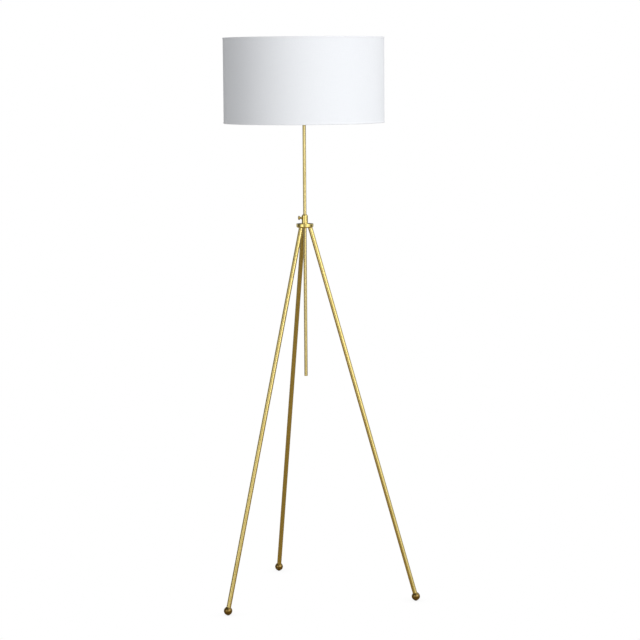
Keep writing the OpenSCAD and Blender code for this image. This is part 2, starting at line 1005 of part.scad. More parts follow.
// Light source on its pillar, standing on the insulator
module bulb_light() {
    pillar_top = bulb_centre - 8;
    pillar_bottom = bulb_contact_bottom + 1.2 + bulb_cone_h;
    color("lightyellow")
        translate([0, 0, pillar_bottom]) {
            cylinder(r = bulb_neck_r * 0.6, h = 12);
            cylinder(r = 4, h = pillar_top - pillar_bottom);
            translate([0, 0, pillar_top - pillar_bottom])
                cylinder(r = 9, h = 3);
        }
}

// Shade

module shade_fabric() {
    color("whitesmoke")
        translate([0, 0, shade_bottom + trim_t])
            tube(shade_d / 2, fabric_ir, shade_h - 2 * trim_t, $fn = 180);
}

module shade_liner() {
    color("white")
        translate([0, 0, shade_bottom + trim_t])
            tube(liner_or, liner_ir, shade_h - 2 * trim_t, $fn = 180);
}

module trim(lip_z, band_z) {
    translate([0, 0, lip_z])
        tube(shade_d / 2 + seat_gap + trim_t, trim_lip_ir, trim_t, $fn = 180);
    translate([0, 0, band_z])
        tube(shade_d / 2 + seat_gap + trim_t, shade_d / 2 + seat_gap, trim_w, $fn = 180);
}

module shade_top_trim() {
    color("whitesmoke")
        trim(shade_top - trim_t, shade_top - trim_w);
}

module shade_bottom_trim() {
    color("whitesmoke")
        trim(shade_bottom, shade_bottom);
}

module spider_arm() {
    bend_x = arm_end_r - arm_bend_r;
    bend_z = arm_z + arm_bend_r;
    translate([washer_d / 2 - 3, 0, arm_z])
        rotate([0, 90, 0])
            cylinder(r = arm_r, h = bend_x - washer_d / 2 + 3);
    wire_joint(bend_x, arm_z, arm_r);
    wire_arc(bend_x, bend_z, arm_bend_r, -90, 0, arm_r);
    wire_joint(arm_end_r, bend_z, arm_r);
    translate([arm_end_r, 0, bend_z])
        cylinder(r = arm_r, h = top_ring_z - bend_z + 1);
}

module shade_top_frame() {
    color("silver")
        difference() {
            union() {
                translate([0, 0, top_ring_z])
                    wire_ring(ring_r, ring_bend_r, $fn = 180);
                for (n = [0 : arm_count - 1])
                    rotate([0, 0, arm_turn + n * 360 / arm_count])
                        spider_arm();
                translate([0, 0, washer_seat])
                    cylinder(r = washer_d / 2, h = washer_t);
            }
            translate([0, 0, washer_seat - 5])
                cylinder(r = harp_stud_d / 2 + run_gap, h = washer_t + 10);
        }
}

module shade_bottom_ring() {
    color("silver")
        translate([0, 0, bottom_ring_z])
            wire_ring(ring_r, ring_bend_r, $fn = 180);
}

hub_disc();
guide_collar();
clamp_pad();
thumb_screw();
leg_1();
leg_2();
leg_3();
leg_top_studs();
leg_foot_plugs();
ball_foot_1();
ball_foot_2();
ball_foot_3();
foot_pads();
stem_tube();
cord_bushing();
stem_coupling();
harp_saddle();
saddle_nut();
harp();
harp_sleeve_left();
harp_sleeve_right();
finial();
socket_cap();
cap_screw();
socket_shell();
socket_liner();
socket_body();
screw_shell();
centre_contact();
terminal_screws();
switch_shaft();
switch_knob();
bulb_base();
bulb_contact();
bulb_glass();
bulb_light();
shade_fabric();
shade_liner();
shade_top_frame();
shade_bottom_ring();
shade_top_trim();
shade_bottom_trim();
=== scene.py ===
import math

import bpy
from mathutils import Matrix, Vector, noise


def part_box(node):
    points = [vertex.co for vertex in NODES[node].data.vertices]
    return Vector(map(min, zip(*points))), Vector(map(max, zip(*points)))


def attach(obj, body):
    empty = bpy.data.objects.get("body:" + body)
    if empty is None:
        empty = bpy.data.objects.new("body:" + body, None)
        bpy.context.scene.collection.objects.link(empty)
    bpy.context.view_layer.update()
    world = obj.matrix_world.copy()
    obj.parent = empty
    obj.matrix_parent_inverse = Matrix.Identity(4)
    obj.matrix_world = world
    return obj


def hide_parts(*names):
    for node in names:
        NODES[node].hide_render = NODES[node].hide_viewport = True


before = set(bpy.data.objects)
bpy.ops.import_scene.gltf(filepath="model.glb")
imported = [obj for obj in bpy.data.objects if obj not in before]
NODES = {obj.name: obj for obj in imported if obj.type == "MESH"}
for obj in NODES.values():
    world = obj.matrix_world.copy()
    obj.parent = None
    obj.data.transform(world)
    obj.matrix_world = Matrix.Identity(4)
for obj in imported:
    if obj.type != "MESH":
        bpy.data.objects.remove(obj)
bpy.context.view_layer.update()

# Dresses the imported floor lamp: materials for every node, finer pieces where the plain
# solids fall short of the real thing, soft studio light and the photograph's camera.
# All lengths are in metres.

MM = 0.001


def extent(node):
    """Lowest and highest z of a node, and its largest half width."""
    low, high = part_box(node)
    return low.z, high.z, max((high.x - low.x) / 2, (high.y - low.y) / 2)


def middle(node):
    """The middle of a node's box: x, y and z."""
    return [(low + high) / 2 for low, high in zip(*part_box(node))]


# Mesh helpers

def add_object(name, vertices, faces, body, finish, smooth_deg=35):
    """Makes a piece from vertices and faces, shades it and lets it ride on a body."""
    mesh = bpy.data.meshes.new(name)
    mesh.from_pydata([tuple(v) for v in vertices], [], faces)
    mesh.validate()
    mesh.update()
    piece = bpy.data.objects.new(name, mesh)
    bpy.context.scene.collection.objects.link(piece)
    mesh.shade_smooth()
    mesh.set_sharp_from_angle(angle=math.radians(smooth_deg))
    mesh.materials.append(finish)
    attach(piece, body)
    return piece


def on_ring(radius, angle, height):
    """The point at an angle round the Z axis."""
    return Vector((radius * math.cos(angle), radius * math.sin(angle), height))


def grid_faces(rows, columns, close_rows=False):
    """Quads between rings of points that are stored one ring after another."""
    faces = []
    for i in range(rows if close_rows else rows - 1):
        a, b = i * columns, (i + 1) % rows * columns
        for j in range(columns):
            k = (j + 1) % columns
            faces.append((a + j, a + k, b + k, b + j))
    return faces


def end_caps(rows, columns):
    """The two faces that close the first and the last ring of a grid."""
    last = (rows - 1) * columns
    return [tuple(range(columns))[::-1], tuple(range(last, last + columns))]


def turned_over(faces):
    """The same faces, looking the other way."""
    return [face[::-1] for face in faces]


def revolve(profile, turns=96, radius_at=None, close=True):
    """Points and faces of a profile of (radius, height) pairs turned about Z.

    radius_at(angle, radius, height) may change the radius, for threads and flutes.
    A profile that isn't closed is capped at its ends.
    """
    points = []
    for r, h in profile:
        for j in range(turns):
            angle = 2 * math.pi * j / turns
            q = radius_at(angle, r, h) if radius_at else r
            points.append(on_ring(q, angle, h))
    faces = grid_faces(len(profile), turns, close_rows=close)
    if not close:
        faces += end_caps(len(profile), turns)
    return points, faces


def rounded(points, radius, steps=5):
    """Rounds the inner corners of an open line of (x, y) pairs."""
    most = 0.49  # of a side, so that two corners' roundings never meet
    out = [points[0]]
    for before, here, after in zip(points, points[1:], points[2:]):
        a, p, b = Vector(before), Vector(here), Vector(after)
        into, away = a - p, b - p
        reach = min(radius, into.length * most, away.length * most)
        start, end = p + into.normalized() * reach, p + away.normalized() * reach
        for k in range(steps + 1):
            t = k / steps
            q = start * (1 - t) ** 2 + p * 2 * t * (1 - t) + end * t ** 2
            out.append((q.x, q.y))
    out.append(points[-1])
    return out


def subdivided(points, step):
    """Adds points to a line of (x, y) pairs so that none are further apart than step."""
    out = [points[0]]
    for a, b in zip(points, points[1:]):
        count = max(1, math.ceil(math.dist(a, b) / step))
        for k in range(1, count + 1):
            t = k / count
            out.append((a[0] + (b[0] - a[0]) * t, a[1] + (b[1] - a[1]) * t))
    return out


def joined(*parts):
    """Several (points, faces) pairs as one."""
    points, faces = [], []
    for more_points, more_faces in parts:
        start = len(points)
        points += more_points
        faces += [tuple(start + i for i in face) for face in more_faces]
    return points, faces


# Material helpers

class Finish:
    """A material under construction, with short calls for the nodes it needs."""

    def __init__(self, name):
        self.material = bpy.data.materials.new(name)
        self.material.use_nodes = True
        self.tree = self.material.node_tree
        self.tree.nodes.clear()
        self.shader = self.node("ShaderNodeBsdfPrincipled")
        out = self.node("ShaderNodeOutputMaterial")
        self.tree.links.new(self.shader.outputs["BSDF"], out.inputs["Surface"])

    def node(self, kind, **settings):
        made = self.tree.nodes.new(kind)
        for key, value in settings.items():
            setattr(made, key, value)
        return made

    def feed(self, source, target, socket):
        self.tree.links.new(source, target.inputs[socket])

    def set(self, **values):
        """Sets the shader's own sockets, by their short names in SOCKETS."""
        for key, value in values.items():
            self.shader.inputs[SOCKETS[key]].default_value = value

    def position(self, turn=(0, 0, 0), stretch=(1, 1, 1)):
        """The piece's own coordinates, turned and then stretched."""
        coordinates = self.node("ShaderNodeTexCoord").outputs["Object"]
        turned = self.node("ShaderNodeMapping")
        turned.inputs["Rotation"].default_value = turn
        self.feed(coordinates, turned, "Vector")
        scaled = self.node("ShaderNodeMapping")
        scaled.inputs["Scale"].default_value = stretch
        self.feed(turned.outputs["Vector"], scaled, "Vector")
        return scaled.outputs["Vector"]

    def around_axis(self, axis, height=0.0):
        """(distance from the axis, 0, place along it): rings for turned work."""
        split = self.node("ShaderNodeSeparateXYZ")
        moved = self.node("ShaderNodeMapping")
        moved.inputs["Location"].default_value = (0, 0, -height)
        self.feed(self.node("ShaderNodeTexCoord").outputs["Object"], moved, "Vector")
        self.feed(moved.outputs["Vector"], split, "Vector")
        across = [n for n in "XYZ" if n != axis]
        flat = self.node("ShaderNodeCombineXYZ")
        self.feed(split.outputs[across[0]], flat, "X")
        self.feed(split.outputs[across[1]], flat, "Y")
        length = self.node("ShaderNodeVectorMath", operation="LENGTH")
        self.feed(flat.outputs["Vector"], length, 0)
        out = self.node("ShaderNodeCombineXYZ")
        self.feed(length.outputs["Value"], out, "X")
        self.feed(split.outputs[axis], out, "Z")
        return out.outputs["Vector"]

    def cloud(self, where, scale, detail=2.0, rough=0.5, warp=0.0):
        """Noise from 0 to 1, with about scale lumps to the metre."""
        made = self.node("ShaderNodeTexNoise")
        self.feed(where, made, "Vector")
        made.inputs["Scale"].default_value = scale
        made.inputs["Detail"].default_value = detail
        made.inputs["Roughness"].default_value = rough
        made.inputs["Distortion"].default_value = warp
        return made.outputs["Fac"]

    def ramp(self, source, low, high, to_low=0.0, to_high=1.0):
        """Maps low..high of the source to to_low..to_high and clamps it."""
        made = self.node("ShaderNodeMapRange")
        for socket, value in zip((1, 2, 3, 4), (low, high, to_low, to_high)):
            made.inputs[socket].default_value = value
        self.feed(source, made, 0)
        return made.outputs[0]

    def math(self, operation, a, b):
        """A sum or the like of two values, each a number or an output."""
        made = self.node("ShaderNodeMath", operation=operation)
        for socket, value in enumerate((a, b)):
            if isinstance(value, (int, float)):
                made.inputs[socket].default_value = value
            else:
                self.feed(value, made, socket)
        return made.outputs[0]

    def blend(self, factor, first, second):
        """Mixes two colours, each a tuple or an output."""
        made = self.node("ShaderNodeMix", data_type="RGBA")
        self.feed(factor, made, 0)
        for socket, value in ((6, first), (7, second)):
            if isinstance(value, tuple):
                made.inputs[socket].default_value = value + (1.0,) * (4 - len(value))
            else:
                self.feed(value, made, socket)
        return made.outputs[2]

    def colour(self, output):
        self.feed(output, self.shader, "Base Color")

    def roughness(self, output):
        self.feed(output, self.shader, "Roughness")

    def bump(self, height, distance, strength=1.0, over=None):
        """Bump of a depth in metres, laid over another normal if one is given."""
        made = self.node("ShaderNodeBump")
        made.inputs["Distance"].default_value = distance
        made.inputs["Strength"].default_value = strength
        self.feed(height, made, "Height")
        if over:
            self.feed(over, made, "Normal")
        self.feed(made.outputs["Normal"], self.shader, "Normal")

    def edges(self, radius):
        """(normal rounded over the edges, 1 on an edge falling to 0 a radius away)."""
        rounding = self.node("ShaderNodeBevel", samples=4)
        rounding.inputs["Radius"].default_value = radius
        likeness = self.node("ShaderNodeVectorMath", operation="DOT_PRODUCT")
        self.feed(rounding.outputs["Normal"], likeness, 0)
        self.feed(self.node("ShaderNodeNewGeometry").outputs["Normal"], likeness, 1)
        edge = self.ramp(likeness.outputs["Value"], FLAT_COS, EDGE_COS)
        return rounding.outputs["Normal"], edge


# Cosine between the true and the rounded normal, off an edge and on it
FLAT_COS, EDGE_COS = 0.99, 0.85
SOCKETS = {
    "metallic": "Metallic", "ior": "IOR", "coat": "Coat Weight",
    "coat_roughness": "Coat Roughness", "sheen": "Sheen Weight",
    "sheen_roughness": "Sheen Roughness", "transmission": "Transmission Weight",
    "specular": "Specular IOR Level", "subsurface": "Subsurface Weight",
    "subsurface_scale": "Subsurface Scale", "subsurface_radius": "Subsurface Radius",
}
# Red, green and blue scatter equally far in milky materials
EVENLY = (1.0, 1.0, 1.0)

# Metals: scales of the noise per metre, and how much each part of it counts
GRAIN_SCALE = 2600
PATCH_SCALE = 22
PATCH_DEPTH = 0.30
RUBBED_GAIN = 1.12
BRIGHTEST = 0.95
GRAIN_ROUGHNESS = 0.3
PATCH_ROUGHNESS = 0.08
MEAN_ROUGHNESS = 0.07


def metal(name, bright, deep, rough, grain, tarnish=0.45, coat=0.0, bump=0.012, contrast=0.22):
    """A satin or polished metal whose fine grain runs along a tube or round a turned piece.

    bright and deep are its two tones. tarnish is the noise level from which the patches
    show, so a lower one gives more of them. grain is "z", "x" or "y" for work turned
    about that axis, or a rotation (Euler angles) that stands a tube upright, whose
    grain then runs along it. The edges are slightly rounded and rubbed brighter.
    """
    finish = Finish(name)
    finish.set(metallic=1.0, coat=coat, coat_roughness=0.12)
    if isinstance(grain, tuple):
        fine = finish.position(turn=grain, stretch=(1, 1, 0.02))
    elif grain == "z":
        fine = finish.around_axis("Z")
    else:
        fine = finish.around_axis(grain.upper(), {"x": SCREW_HEIGHT, "y": SWITCH_HEIGHT}[grain])
    lines = finish.cloud(fine, GRAIN_SCALE, detail=3, rough=0.6)
    broad = finish.cloud(finish.position(), PATCH_SCALE, detail=3, rough=0.55, warp=0.4)
    patches = finish.ramp(broad, tarnish, tarnish + 0.3)
    streaks = finish.ramp(lines, 0.3, 0.7)
    patch_tone = tuple(b * (1 - PATCH_DEPTH) + d * PATCH_DEPTH for b, d in zip(bright, deep))
    toned = finish.blend(patches, bright, patch_tone)
    grained = finish.blend(finish.math("MULTIPLY", streaks, contrast), toned, deep)
    soft_normal, edge = finish.edges(EDGE_R)
    rubbed = tuple(min(BRIGHTEST, RUBBED_GAIN * b) for b in bright)
    finish.colour(finish.blend(finish.math("MULTIPLY", edge, EDGE_WEAR), grained, rubbed))
    varied = finish.math("ADD", finish.math("MULTIPLY", streaks, contrast * GRAIN_ROUGHNESS),
                         finish.math("MULTIPLY", broad, PATCH_ROUGHNESS))
    finish.roughness(finish.math("ADD", varied, rough - MEAN_ROUGHNESS))
    finish.bump(lines, bump * MM, 0.35, over=soft_normal)
    return finish


# Measures

LEGS = (1, 2, 3)
LEG_PITCH_R = 15.5 * MM
HUB_BOTTOM = extent("hub_disc")[0]
FOOT_R, _, BALL_Z = middle("ball_foot_1")
SPLAY = math.atan2(FOOT_R - LEG_PITCH_R, HUB_BOTTOM - BALL_Z)
SCREW_HEIGHT = middle("thumb_screw")[2]
SWITCH_HEIGHT = middle("switch_shaft")[2]
SHADE_LOW, SHADE_HIGH, SHADE_R = extent("shade_fabric")
CLOTH_T = 0.6 * MM
SEAT_GAP = 0.05 * MM
LINER_T = 0.4 * MM
LINER_IN = SHADE_R - (CLOTH_T + SEAT_GAP + LINER_T)
RING_LOW, RING_HIGH, _ = extent("shade_bottom_ring")
BOTTOM_EDGE = extent("shade_bottom_trim")[0]
TOP_EDGE = extent("shade_top_trim")[1]


def leg_upright(number):
    """Rotation that stands leg 1, 2 or 3 upright, for its grain."""
    about = Matrix.Rotation(2 * math.pi / len(LEGS) * (number - 1), 4, "Z")
    leaning = Matrix.Rotation(-SPLAY, 4, "Y")
    return tuple((about @ leaning).inverted().to_euler("XYZ"))


# Materials

EDGE_R = 0.35 * MM
EDGE_WEAR = 0.6
UPRIGHT = (0.0, 0.0, 0.0)
BRASS_DEEP = (0.40, 0.295, 0.06)

turned_brass = metal("turned_brass", (0.72, 0.57, 0.18), BRASS_DEEP, 0.20, "z", coat=0.5,
                     bump=0.003, contrast=0.08)
leg_brass = [
    metal(f"leg_brass_{n}", (0.565, 0.450, 0.155), BRASS_DEEP, 0.32, leg_upright(n), coat=0.5)
    for n in LEGS
]
screw_brass = metal("screw_brass", (0.47, 0.365, 0.108), BRASS_DEEP, 0.26, "x", coat=0.3,
                    bump=0.004, contrast=0.12)
wire_brass = metal("wire_brass", (0.60, 0.475, 0.145), BRASS_DEEP, 0.25, UPRIGHT, coat=0.1)
stem_brass = metal("stem_brass", (0.62, 0.505, 0.205), (0.46, 0.36, 0.11), 0.31, UPRIGHT,
                   coat=0.5)
dipped_brass = metal("dipped_brass", (0.80, 0.60, 0.25), (0.46, 0.29, 0.08), 0.16, "z",
                     tarnish=0.4)
sheet_brass = metal("sheet_brass", (0.82, 0.64, 0.30), (0.52, 0.36, 0.12), 0.22, "z")
antique_brass = metal("antique_brass", (0.26, 0.170, 0.045), (0.12, 0.070, 0.012), 0.31,
                      UPRIGHT, tarnish=0.35, coat=0.25, bump=0.01, contrast=0.12)
zinc_steel = metal("zinc_steel", (0.66, 0.66, 0.65), (0.42, 0.42, 0.40), 0.30, "z")
nickel = metal("nickel", (0.75, 0.73, 0.69), (0.50, 0.48, 0.44), 0.17, "z")


def moulded(name, light, dark, rough, grain_mm=0.5, bump=0.02, coat=0.0):
    """A moulded or pressed material with a fine even grain."""
    mottle_scale, spread = 60, 0.06
    finish = Finish(name)
    finish.set(coat=coat, coat_roughness=0.2)
    where = finish.position()
    grain = finish.cloud(where, 1 / (grain_mm * MM), detail=2)
    broad = finish.cloud(where, mottle_scale, detail=3, warp=0.5)
    finish.colour(finish.blend(finish.ramp(broad, 0.35, 0.7), light, dark))
    finish.roughness(finish.ramp(grain, 0.2, 0.8, rough - spread, rough + spread))
    finish.bump(grain, bump * MM, 0.5)
    return finish


phenolic = moulded("phenolic", (0.030, 0.024, 0.020), (0.018, 0.014, 0.012), 0.32, 0.6, coat=0.2)
fibre = moulded("fibre", (0.36, 0.31, 0.24), (0.27, 0.22, 0.16), 0.7, 0.35, bump=0.05)
nylon = moulded("nylon", (0.86, 0.85, 0.80), (0.80, 0.78, 0.72), 0.42)
insulator = moulded("insulator", (0.030, 0.030, 0.032), (0.018, 0.018, 0.020), 0.18, 0.8)
white_coat = moulded("white_coat", (0.86, 0.86, 0.85), (0.80, 0.80, 0.78), 0.38, 0.9, bump=0.06)
styrene = moulded("styrene", (0.90, 0.90, 0.885), (0.87, 0.87, 0.85), 0.48, 1.4, bump=0.03)
styrene.set(subsurface=0.15, subsurface_scale=0.002, subsurface_radius=EVENLY)
phosphor = moulded("phosphor", (0.90, 0.83, 0.60), (0.82, 0.72, 0.46), 0.6, 0.4, bump=0.04)


def felt_finish():
    """Dark felt with matted hairs."""
    hair_scale = 2400
    finish = Finish("felt")
    finish.set(sheen=0.4, sheen_roughness=0.5)
    hairs = finish.cloud(finish.position(), hair_scale, detail=4, rough=0.7, warp=1.5)
    finish.colour(finish.blend(hairs, (0.035, 0.032, 0.028), (0.085, 0.078, 0.070)))
    finish.roughness(finish.ramp(hairs, 0.2, 0.8, 0.82, 0.98))
    finish.bump(hairs, 0.12 * MM, 0.8)
    return finish


def frosted_finish():
    """Acid-etched glass: white, faintly mottled, letting light through."""
    etch_scale, mottle_scale = 3000, 45
    finish = Finish("frosted_glass")
    finish.set(transmission=0.16, ior=1.48, subsurface=0.3, subsurface_scale=0.004,
               subsurface_radius=EVENLY)
    where = finish.position()
    etched = finish.cloud(where, etch_scale, detail=3, rough=0.6)
    broad = finish.cloud(where, mottle_scale, detail=2)
    finish.colour(finish.blend(broad, (0.97, 0.97, 0.955), (0.94, 0.94, 0.925)))
    finish.roughness(finish.ramp(etched, 0.2, 0.8, 0.36, 0.52))
    finish.bump(etched, 0.01 * MM, 0.4)
    return finish


# Weave: how far the threads wander, and how quickly, and how often one thread's
# thickness changes along it and from one thread to the next, per metre
THREAD_SWAY = 0.5 * MM
SWAY_SCALE = 260
SLUB_ALONG, SLUB_ACROSS = 25, 1500


def woven(name, light, dark, pitch_mm, slub=1.0, bump=0.06):
    """Plain weave drawn from the sheet's own UV, in metres: threads, slubs and fuzz, with painted
    shade that darkens the gaps between the threads.
    """
    finish = Finish(name)
    finish.set(sheen=0.12, sheen_roughness=0.4, specular=0.25)
    uv = finish.node("ShaderNodeUVMap", uv_map="cloth").outputs["UV"]

    def stretched(x, y):
        scaled = finish.node("ShaderNodeMapping")
        scaled.inputs["Scale"].default_value = (x, y, 1)
        finish.feed(uv, scaled, "Vector")
        return scaled.outputs["Vector"]

    sway = finish.cloud(stretched(1, 1), SWAY_SCALE, detail=2)
    drift = finish.math("MULTIPLY", finish.math("SUBTRACT", sway, 0.5), THREAD_SWAY)
    split = finish.node("ShaderNodeSeparateXYZ")
    finish.feed(uv, split, "Vector")
    rate = math.pi / (pitch_mm * MM)
    waves = []
    for axis in "XY":
        along = finish.math("MULTIPLY", finish.math("ADD", split.outputs[axis], drift), rate)
        waves.append(finish.math("SINE", along, 0.0))
    over = finish.math("MULTIPLY", waves[0], waves[1])
    threads = finish.ramp(over, -1.0, 1.0)
    weft = finish.cloud(stretched(SLUB_ALONG, SLUB_ACROSS), 1, detail=3, rough=0.6)
    warp = finish.cloud(stretched(SLUB_ACROSS, SLUB_ALONG), 1, detail=3, rough=0.6)
    slubs = finish.math("ADD", finish.math("MULTIPLY", weft, 0.6 * slub),
                        finish.math("MULTIPLY", warp, 0.4 * slub))
    height = finish.math("ADD", finish.math("MULTIPLY", threads, 0.5), slubs)
    # Painted shade and light: the colour darkens in the low gaps between threads and lightens on
    # the raised threads, and the slubs add their own random tone
    tone = finish.ramp(height, 0.45, 1.05)
    finish.colour(finish.blend(tone, dark, light))
    finish.roughness(finish.ramp(slubs, 0.3, 0.7, 0.86, 0.96))
    finish.bump(height, bump * MM, 0.5)
    return finish


# The darker colour of each weave is painted shade between its threads, mixed with the slubs' own
# tone
cloth = woven("shade_cloth", (0.91, 0.923, 0.94), (0.84, 0.855, 0.88), 0.55)
tape = woven("shade_tape", (0.93, 0.94, 0.96), (0.87, 0.88, 0.90), 0.40, slub=0.6, bump=0.04)
felt = felt_finish()
frosted = frosted_finish()

FINISHES = {
    turned_brass: ["hub_disc", "guide_collar", "stem_coupling", "harp_sleeve_left",
                   "harp_sleeve_right", "finial"],
    leg_brass[0]: ["leg_1"], leg_brass[1]: ["leg_2"], leg_brass[2]: ["leg_3"],
    screw_brass: ["thumb_screw"],
    wire_brass: ["harp", "harp_saddle"],
    stem_brass: ["stem_tube", "cord_bushing"],
    dipped_brass: ["socket_cap", "socket_shell"],
    sheet_brass: ["screw_shell", "centre_contact", "terminal_screws"],
    antique_brass: ["ball_foot_1", "ball_foot_2", "ball_foot_3"],
    zinc_steel: ["leg_top_studs", "leg_foot_plugs", "saddle_nut", "cap_screw",
                 "switch_shaft"],
    nickel: ["bulb_base"],
    phenolic: ["socket_body", "switch_knob"],
    fibre: ["socket_liner"],
    nylon: ["clamp_pad"],
    insulator: ["bulb_contact"],
    white_coat: ["shade_top_frame", "shade_bottom_ring"],
    styrene: ["shade_liner"],
    phosphor: ["bulb_light"],
    felt: ["foot_pads"],
    frosted: ["bulb_glass"],
    cloth: ["shade_fabric"],
    tape: ["shade_top_trim", "shade_bottom_trim"],
}
for finish, names in FINISHES.items():
    for node_name in names:
        for place in NODES[node_name].material_slots:
            place.material = finish.material


# Shade pieces

AROUND = 2 * math.pi * SHADE_R
ANGLES_ROUND = 720
CLOTH_ROWS = 49
CLOTH_WAVE = 0.10 * MM
SEAM_ANGLE = math.radians(96)
SEAM_W = 13 * MM
SEAM_LIFT = 0.75 * MM
SEAM_CRISP = 0.9 * MM
SEAM_SLOPE = 30 * MM
SEAM_STEP = 0.3 * MM


def from_angle(angle, other):
    """How far angle is past other round the axis, from minus to plus half a turn."""
    return (angle - other + math.pi) % (2 * math.pi) - math.pi


def seam_lift(angle):
    """How far the overlap lifts the cloth: a crisp edge, then an easy slope back."""
    along = from_angle(angle, SEAM_ANGLE) * SHADE_R
    if 0 <= along <= SEAM_W:
        return SEAM_LIFT * min(1.0, along / SEAM_CRISP)
    if SEAM_W < along < SEAM_W + SEAM_SLOPE:
        return SEAM_LIFT * (0.5 + 0.5 * math.cos(math.pi * (along - SEAM_W) / SEAM_SLOPE))
    return 0.0


def unevenness(angle, scale, height):
    """Noise from -1 to 1 that closes on itself round the drum."""
    return noise.noise(on_ring(scale, angle, height))


def cloth_angles():
    """Angles round the drum, with extra ones at the seam's crisp edge."""
    angles = {round(2 * math.pi * k / ANGLES_ROUND, 6) for k in range(ANGLES_ROUND)}
    for k in range(-4, 12):
        angles.add(round(SEAM_ANGLE + k * SEAM_STEP / SHADE_R, 6))
    return sorted(angles)


def drum_cloth():
    """The cloth laminated round the liner, with its overlap seam at the back."""
    angles = cloth_angles()
    outer, inner = [], []
    for i in range(CLOTH_ROWS):
        h = SHADE_LOW + (SHADE_HIGH - SHADE_LOW) * i / (CLOTH_ROWS - 1)
        for angle in angles:
            wave = CLOTH_WAVE * unevenness(angle, 5, h * 14)
            outer.append(on_ring(SHADE_R + wave + seam_lift(angle), angle, h))
            inner.append(on_ring(SHADE_R - CLOTH_T, angle, h))
    n = len(angles)
    start = len(outer)
    faces = grid_faces(CLOTH_ROWS, n)
    faces += turned_over([tuple(start + v for v in face) for face in faces])
    for first, bottom in ((0, True), (start - n, False)):
        for j in range(n):
            a, b = first + j, first + (j + 1) % n
            face = (a, b, start + b, start + a)
            faces.append(face[::-1] if bottom else face)
    piece = add_object("shade_cloth", outer + inner, faces, "shade", cloth.material, 30)
    add_cloth_uv(piece)
    return piece


def add_cloth_uv(piece):
    """UV in metres: round the drum and up it. The round ends at the seam's edge."""
    mesh = piece.data
    layer = mesh.uv_layers.new(name="cloth")
    for polygon in mesh.polygons:
        corners = [mesh.vertices[v].co for v in polygon.vertices]
        turns = [(math.atan2(p.y, p.x) - SEAM_ANGLE) % (2 * math.pi) for p in corners]
        if max(turns) - min(turns) > math.pi:
            turns = [t + 2 * math.pi if t < math.pi else t for t in turns]
        for loop, p, turn in zip(polygon.loop_indices, corners, turns):
            out = math.hypot(p.x, p.y) - SHADE_R
            layer.data[loop].uv = (turn * SHADE_R, p.z - SHADE_LOW - out)


shade_cloth = drum_cloth()
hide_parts("shade_fabric")

ARM_ANGLES = [math.radians(a) for a in (90, 210, 330)]
ARM_CLEAR = 2.2 * MM
TAPE_T = 0.45 * MM
TAPE_OUTSIDE = SHADE_R + 0.10 * MM
TAPE_INSIDE = SHADE_R - 4.4 * MM
TAPE_SEEN = 5.3 * MM
TAPE_WAVE = 0.12 * MM
TAPE_TUCK = 4.2 * MM
TUCK_RAMP = 5 * MM
LEAST_TUCK = 0.12


def tape_section(angle, arms, edge):
    """The tape's outline at an angle, as (radius, depth below the drum's edge) pairs."""
    arm = min((abs(from_angle(angle, a)) * SHADE_R for a in arms), default=AROUND)
    tuck = TAPE_TUCK * min(1.0, max(LEAST_TUCK, (arm - ARM_CLEAR) / TUCK_RAMP))
    width = TAPE_SEEN + TAPE_WAVE * unevenness(angle, 30, edge)
    under = TAPE_OUTSIDE + seam_lift(angle)
    over = under + TAPE_T
    line = rounded([(under + 0.10 * MM, width), (over + 0.22 * MM, width * 0.55),
                    (over + 0.05 * MM, 0.0), (TAPE_INSIDE - TAPE_T, 0.0),
                    (TAPE_INSIDE - TAPE_T, tuck)], 1.5 * MM, 6)
    line += rounded([(TAPE_INSIDE, tuck), (TAPE_INSIDE, TAPE_T), (under, TAPE_T),
                     (under, width)], 0.5 * MM, 3)
    return line


def edge_tape(name, edge, inward, arms, node):
    """Tape rolled over the drum's edge and tucked behind the ring.

    edge is the height of the drum's end, and inward is -1 at the top and 1 at the
    bottom, towards the middle of the drum. Near the spider's arms the tuck is cut short.
    """
    sections = [(angle, tape_section(angle, arms, edge)) for angle in cloth_angles()]
    points = []
    for angle, line in sections:
        points += [on_ring(r, angle, edge + inward * depth) for r, depth in line]
    faces = grid_faces(len(sections), len(sections[0][1]), close_rows=True)
    if inward < 0:
        faces = turned_over(faces)
    piece = add_object(name, points, faces, "shade", tape.material, 40)
    add_cloth_uv(piece)
    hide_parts(node)


edge_tape("top_tape", TOP_EDGE, -1, ARM_ANGLES, "shade_top_trim")
edge_tape("bottom_tape", BOTTOM_EDGE, 1, [], "shade_bottom_trim")


def seam_strip():
    """The stiff liner's own overlap inside the drum: a low step from edge to edge."""
    width, thick, margin, steps = 9 * MM, 0.3 * MM, 5 * MM, 6
    clear, taper = 0.02 * MM, 0.35
    points = []
    for h in (SHADE_LOW + margin, SHADE_HIGH - margin):
        for depth, thinned in ((clear, 0.0), (thick, taper)):
            for k in range(steps + 1):
                angle = SEAM_ANGLE + (k / steps - 0.5) * width / LINER_IN
                at_edge = thinned * thick if k in (0, steps) else 0.0
                points.append(on_ring(LINER_IN - depth + at_edge, angle, h))
    # The points come in four rows: at the bottom the liner's side and the open side,
    # then the same at the top
    row = steps + 1
    faces = [(0, row, 3 * row, 2 * row), (steps, 2 * row + steps, 3 * row + steps, row + steps)]
    for k in range(steps):
        faces.append((row + k, row + k + 1, 3 * row + k + 1, 3 * row + k))
        faces.append((k + 1, k, 2 * row + k, 2 * row + k + 1))
        faces.append((k, k + 1, row + k + 1, row + k))
        faces.append((2 * row + k + 1, 2 * row + k, 3 * row + k, 3 * row + k + 1))
    piece = add_object("liner_seam", points, turned_over(faces), "shade", styrene.material, 30)


seam_strip()


# Wire frame details

RING_WIRE_R = (RING_HIGH - RING_LOW) / 2
FRAME_HIGH, FRAME_R = extent("shade_top_frame")[1:]
RING_R = FRAME_R - RING_WIRE_R
ARM_SUNK = 0.5 * MM


